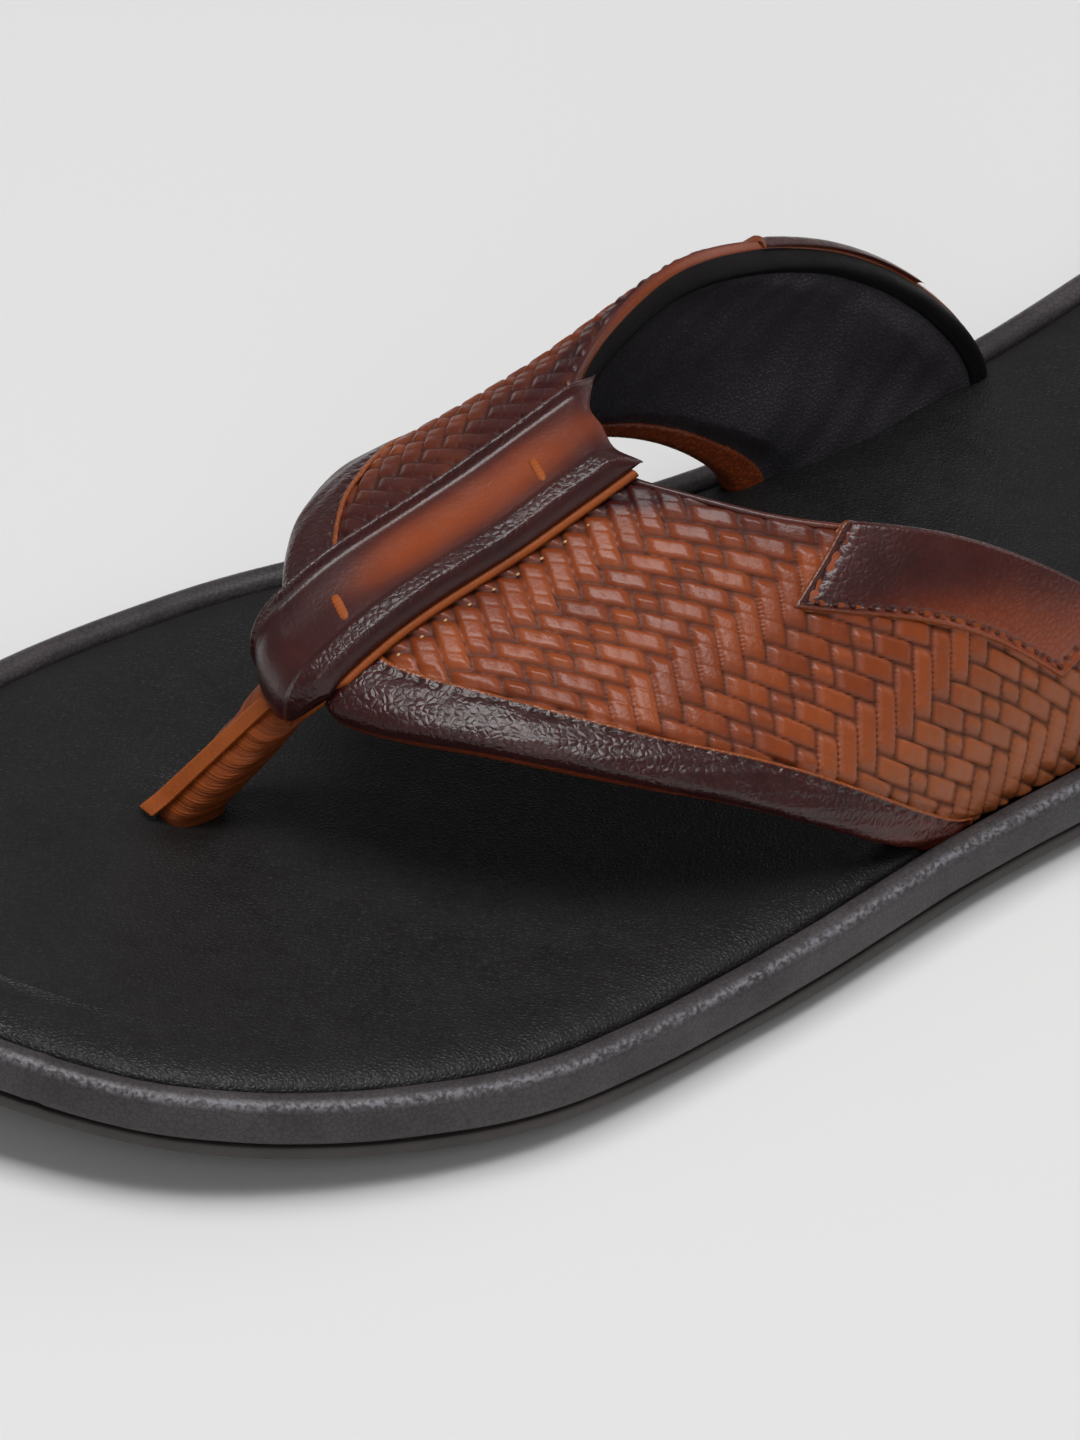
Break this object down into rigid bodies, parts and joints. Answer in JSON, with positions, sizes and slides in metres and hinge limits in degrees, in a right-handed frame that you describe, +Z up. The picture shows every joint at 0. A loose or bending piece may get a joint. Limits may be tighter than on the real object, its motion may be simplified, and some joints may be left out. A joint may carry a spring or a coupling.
{
  "type": "flip flop",
  "caption": "Leather thong sandal for a left foot: padded footbed on a shaped sole, woven strap wings meeting at a raised centre band above a toe post.",
  "frame": {"origin": "on the ground under the middle of the sole's length and width", "axes": "+Z up, the toe points to -Y, the heel to +Y, the outer (lateral) side of the left foot to +X"},
  "size_m": [0.098, 0.288, 0.0505],
  "materials": {
    "rubber": "matt black-brown moulded rubber",
    "foam": "dark expanded foam, closed skin",
    "board": "pressed cellulose board, raw",
    "black_leather": "near-black fine-grained leather, satin",
    "edge_leather": "near-black smooth leather, satin, grey-lilac sheen",
    "lining_leather": "black soft lining leather",
    "woven_leather": "cognac leather strips woven in a twill, burnished",
    "burgundy_leather": "burgundy pebbled leather, burnished and waxed",
    "tan_leather": "tan leather, satin",
    "canvas": "natural cotton canvas",
    "thread": "dark brown waxed thread"
  },
  "bodies": {
    "root": {"outsole": "rubber", "midsole": "foam", "rim_wrap": "edge_leather", "insole_board": "board", "foam_pad": "foam", "sock_leather": "black_leather", "centre_band": "burgundy_leather", "centre_underlay": "lining_leather", "bar_tack_front": "tan_leather", "bar_tack_rear": "tan_leather", "toe_post_core": "tan_leather", "toe_post_sleeve": "tan_leather", "wing_panel_lateral": "woven_leather", "wing_border_lateral": "burgundy_leather", "wing_stiffener_lateral": "canvas", "wing_lining_lateral": "lining_leather", "wing_patch_lateral": "burgundy_leather", "border_thread_lateral": "thread", "patch_thread_lateral": "thread", "band_thread_lateral": "thread", "wing_panel_medial": "woven_leather", "wing_border_medial": "burgundy_leather", "wing_stiffener_medial": "canvas", "wing_lining_medial": "lining_leather", "wing_patch_medial": "burgundy_leather", "border_thread_medial": "thread", "patch_thread_medial": "thread", "band_thread_medial": "thread", "centre_strip": "tan_leather", "toe_post_loop": "tan_leather"}
  },
  "joints": []
}
